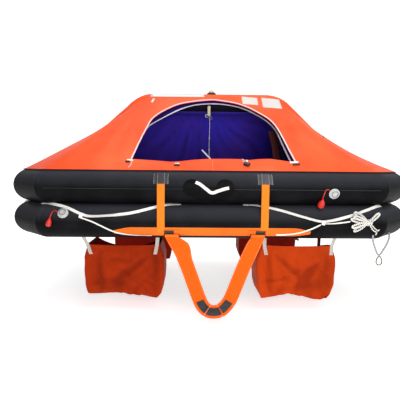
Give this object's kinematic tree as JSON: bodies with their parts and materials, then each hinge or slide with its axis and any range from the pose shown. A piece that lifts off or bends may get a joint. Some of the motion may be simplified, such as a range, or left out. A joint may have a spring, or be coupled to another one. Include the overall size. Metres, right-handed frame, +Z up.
{
  "type": "inflatable life raft",
  "caption": "Inflatable life raft: stacked buoyancy tubes, a canopy on an arch with an arched entrance, ballast pockets, lifelines and a boarding stirrup that swings.",
  "frame": {"origin": "the raft's centre, on the waterline, 60 mm above the lower tube's underside", "axes": "+Z up, the entrance faces -Y, +X along the raft to the right as seen from the front"},
  "size_m": [2.8306, 1.9288, 1.6859],
  "materials": {
    "tube_black": "satin coated fabric",
    "canopy_orange": "coated cloth",
    "liner_blue": "coated cloth",
    "pocket_orange": "coated cloth",
    "webbing_orange": "woven webbing",
    "webbing_white": "braided line and webbing",
    "plastic_black": "moulded",
    "valve_white": "moulded",
    "cap_red": "moulded",
    "lamp_yellow": "translucent lens",
    "steel": "stainless wire",
    "floor_grey": "coated fabric"
  },
  "bodies": {
    "raft": {"lower_tube": "tube_black", "upper_tube": "tube_black", "arch_tube": "tube_black", "handle_patch_left": "tube_black", "handle_patch_right": "tube_black", "canopy_front": "canopy_orange", "canopy_rear": "canopy_orange", "liner_front": "liner_blue", "liner_rear": "liner_blue", "pocket_front_left": "pocket_orange", "pocket_front_right": "pocket_orange", "pocket_rear_left": "pocket_orange", "pocket_rear_right": "pocket_orange", "strap_left": "webbing_orange", "strap_right": "webbing_orange", "front_band": "webbing_orange", "grab_handle": "webbing_white", "lifeline_front_left": "webbing_white", "lifeline_front_right": "webbing_white", "lifeline_side_left": "webbing_white", "lifeline_side_right": "webbing_white", "lifeline_rear": "webbing_white", "line_low_left": "webbing_white", "line_low_right": "webbing_white", "painter_cord": "webbing_white", "painter_hank": "webbing_white", "lamp_pull_cord": "webbing_white", "strap_patch_left": "plastic_black", "strap_patch_right": "plastic_black", "buckle_left": "plastic_black", "buckle_right": "plastic_black", "lamp_base": "plastic_black", "valve_left": "valve_white", "valve_right": "valve_white", "cap_left": "cap_red", "cap_right": "cap_red", "ridge_lamp": "lamp_yellow", "cabin_lamp": "lamp_yellow", "snap_hook": "steel", "floor": "floor_grey"},
    "stirrup": {"stirrup_webbing": "webbing_orange", "step_pad_left": "plastic_black", "step_pad_middle": "plastic_black", "step_pad_right": "plastic_black"}
  },
  "joints": [
    {"name": "stirrup_swing", "type": "hinge", "parent": "raft", "child": "stirrup", "pos_m": [0.015, -0.93453, -0.02958], "axis": [1, 0, 0], "range_deg": [-90, 60]}
  ]
}
